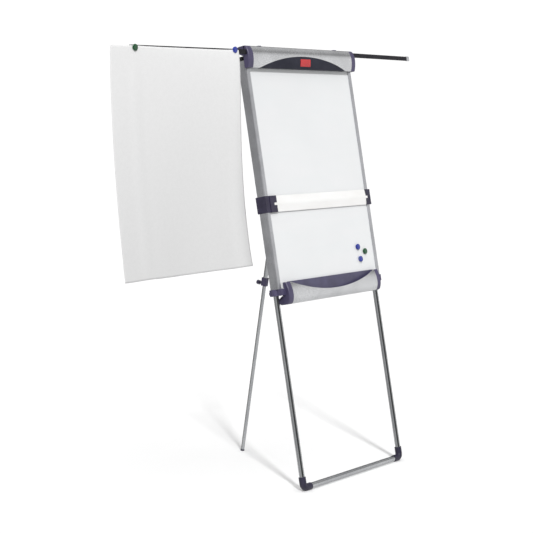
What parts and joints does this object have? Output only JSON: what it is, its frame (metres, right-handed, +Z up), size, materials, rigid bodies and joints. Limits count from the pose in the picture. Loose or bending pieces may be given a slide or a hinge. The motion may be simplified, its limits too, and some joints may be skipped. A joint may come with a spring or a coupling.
{
  "type": "flipchart easel",
  "caption": "Leaning dry-wipe board on a U-shaped leg frame with a folding rear leg, curved header, pen tray, page bar and pull-out side arms holding a paper sheet.",
  "frame": {"origin": "on the floor, under the middle of the crossbar that joins the two front feet", "axes": "+Z up; -Y is the way the board faces, so the rear leg stands towards +Y; +X to the right of someone who looks at the board; the board leans back by 11.4 degrees"},
  "size_m": [1.913, 0.639, 1.7754],
  "materials": {
    "rail_aluminium": "satin anodised extrusion",
    "leg_silver": "silver powder coat",
    "case_silver": "brushed satin, curved extrusion",
    "navy_plastic": "dark navy moulded plastic, fine grain",
    "navy_insert": "dark navy, smooth",
    "tray_blue": "dusky blue, smooth",
    "black_plastic": "near black, fine grain",
    "badge_red": "plain red plate",
    "board_white": "glossy white dry-wipe enamel",
    "board_zinc": "grey primed steel sheet",
    "board_fibre": "fibre core",
    "zinc_steel": "zinc plated",
    "spring_steel": "drawn wire",
    "bar_clear": "frosted, nearly white, satin",
    "bracket_grey": "dark grey-navy moulded",
    "arm_navy": "dark navy coated bar",
    "arm_silver": "satin end",
    "magnet_blue": "glossy blue",
    "magnet_green": "glossy green",
    "paper": "plain white paper",
    "rubber_foot": "dark moulded foot"
  },
  "bodies": {
    "board": {"side_rail_left": "rail_aluminium", "side_rail_right": "rail_aluminium", "rail_plug_left": "black_plastic", "rail_plug_right": "black_plastic", "board_back": "board_zinc", "board_core": "board_fibre", "board_face": "board_white", "cross_member_top": "zinc_steel", "cross_member_bottom": "zinc_steel", "frame_screws": "zinc_steel", "header_shell": "case_silver", "header_insert": "navy_insert", "header_badge": "badge_red", "header_cap_left": "navy_plastic", "header_cap_right": "navy_plastic", "arm_guides": "black_plastic", "clamp_rod": "zinc_steel", "clamp_springs": "spring_steel", "tray_shell": "case_silver", "tray_liner": "tray_blue", "tray_cap_left": "navy_plastic", "tray_cap_right": "navy_plastic", "leg_clamp_left": "navy_plastic", "leg_clamp_right": "navy_plastic", "hinge_bracket": "zinc_steel", "hinge_pin": "zinc_steel"},
    "leg_frame": {"leg_tube_left": "leg_silver", "leg_tube_right": "leg_silver", "leg_plug_left": "black_plastic", "leg_plug_right": "black_plastic", "foot_elbow_left": "rubber_foot", "foot_elbow_right": "rubber_foot", "crossbar": "leg_silver"},
    "leg_screw_left": {"leg_clamp_screw_left": "navy_plastic"},
    "leg_screw_right": {"leg_clamp_screw_right": "navy_plastic"},
    "rear_leg": {"rear_knuckle": "black_plastic", "rear_leg_upper": "leg_silver", "rear_clamp": "navy_plastic"},
    "rear_extension": {"rear_leg_lower": "leg_silver", "rear_foot": "rubber_foot"},
    "rear_screw": {"rear_clamp_screw": "navy_plastic"},
    "left_arm": {"arm_left": "arm_navy", "arm_tip_left": "arm_silver"},
    "right_arm": {"arm_right": "arm_navy", "arm_tip_right": "arm_silver"},
    "sheet": {"paper_sheet": "paper", "arm_magnet_green": "magnet_green", "arm_magnet_blue": "magnet_blue"},
    "bar_carriage": {"bar_bracket_left": "bracket_grey", "bar_bracket_right": "bracket_grey", "bar_pin": "zinc_steel"},
    "bar": {"page_bar": "bar_clear"},
    "clamp_plate": {"pad_clamp": "navy_plastic"},
    "hook_left": {"pad_hook_left": "navy_plastic"},
    "hook_right": {"pad_hook_right": "navy_plastic"},
    "magnet_upper": {"board_magnet_upper": "magnet_blue"},
    "magnet_middle": {"board_magnet_middle": "magnet_green"},
    "magnet_lower": {"board_magnet_lower": "magnet_blue"}
  },
  "joints": [
    {"name": "leg_height", "type": "slide", "parent": "board", "child": "leg_frame", "axis": [0, 0.1977, 0.9803], "range_m": [-0.1, 0.55]},
    {"name": "leg_screw_left_turn", "type": "hinge", "parent": "board", "child": "leg_screw_left", "pos_m": [-0.336, 0.17928, 0.78121], "axis": [0, -0.9803, 0.1977], "range_deg": [0, 360]},
    {"name": "leg_screw_right_turn", "type": "hinge", "parent": "board", "child": "leg_screw_right", "pos_m": [0.336, 0.17928, 0.78121], "axis": [0, -0.9803, 0.1977], "range_deg": [0, 360]},
    {"name": "rear_leg_fold", "type": "hinge", "parent": "board", "child": "rear_leg", "pos_m": [0, 0.35848, 1.62443], "axis": [-1, 0, 0], "range_deg": [0, 20]},
    {"name": "rear_leg_length", "type": "slide", "parent": "rear_leg", "child": "rear_extension", "axis": [0, 0.1566, -0.9877], "range_m": [-0.6, 0.06]},
    {"name": "rear_screw_turn", "type": "hinge", "parent": "rear_leg", "child": "rear_screw", "pos_m": [0, 0.49517, 0.76219], "axis": [0, 0.9877, 0.1566], "range_deg": [0, 360]},
    {"name": "left_arm_slide", "type": "slide", "parent": "board", "child": "left_arm", "axis": [1, 0.0017, 0.0086], "range_m": [0, 0.62]},
    {"name": "right_arm_slide", "type": "slide", "parent": "board", "child": "right_arm", "axis": [1, -0.001, -0.0051], "range_m": [-0.414, 0.2]},
    {"name": "sheet_off", "type": "slide", "parent": "board", "child": "sheet", "axis": [0, -1, 0], "range_m": [0, 0.3]},
    {"name": "bar_height", "type": "slide", "parent": "board", "child": "bar_carriage", "axis": [0, 0.1977, 0.9803], "range_m": [-0.15, 0.45]},
    {"name": "bar_swing", "type": "hinge", "parent": "bar_carriage", "child": "bar", "pos_m": [-0.298, 0.19495, 1.14224], "axis": [0, -0.1977, -0.9803], "range_deg": [0, 100]},
    {"name": "pad_clamp_open", "type": "hinge", "parent": "board", "child": "clamp_plate", "pos_m": [0, 0.30883, 1.72727], "axis": [-1, 0, 0], "range_deg": [0, 15], "stiffness_Nm_per_rad": 0.6, "springref_deg": -17.19},
    {"name": "hook_left_slide", "type": "slide", "parent": "board", "child": "hook_left", "axis": [1, 0, 0], "range_m": [-0.03, 0.03]},
    {"name": "hook_right_slide", "type": "slide", "parent": "board", "child": "hook_right", "axis": [1, 0, 0], "range_m": [-0.03, 0.03]},
    {"name": "magnet_upper_off", "type": "slide", "parent": "board", "child": "magnet_upper", "axis": [0, -0.9803, 0.1977], "range_m": [0, 0.04]},
    {"name": "magnet_middle_off", "type": "slide", "parent": "board", "child": "magnet_middle", "axis": [0, -0.9803, 0.1977], "range_m": [0, 0.04]},
    {"name": "magnet_lower_off", "type": "slide", "parent": "board", "child": "magnet_lower", "axis": [0, -0.9803, 0.1977], "range_m": [0, 0.04]}
  ],
  "couplings": [
    {"joint": "sheet_off", "follows": "left_arm_slide", "ratio": 0.45}
  ]
}
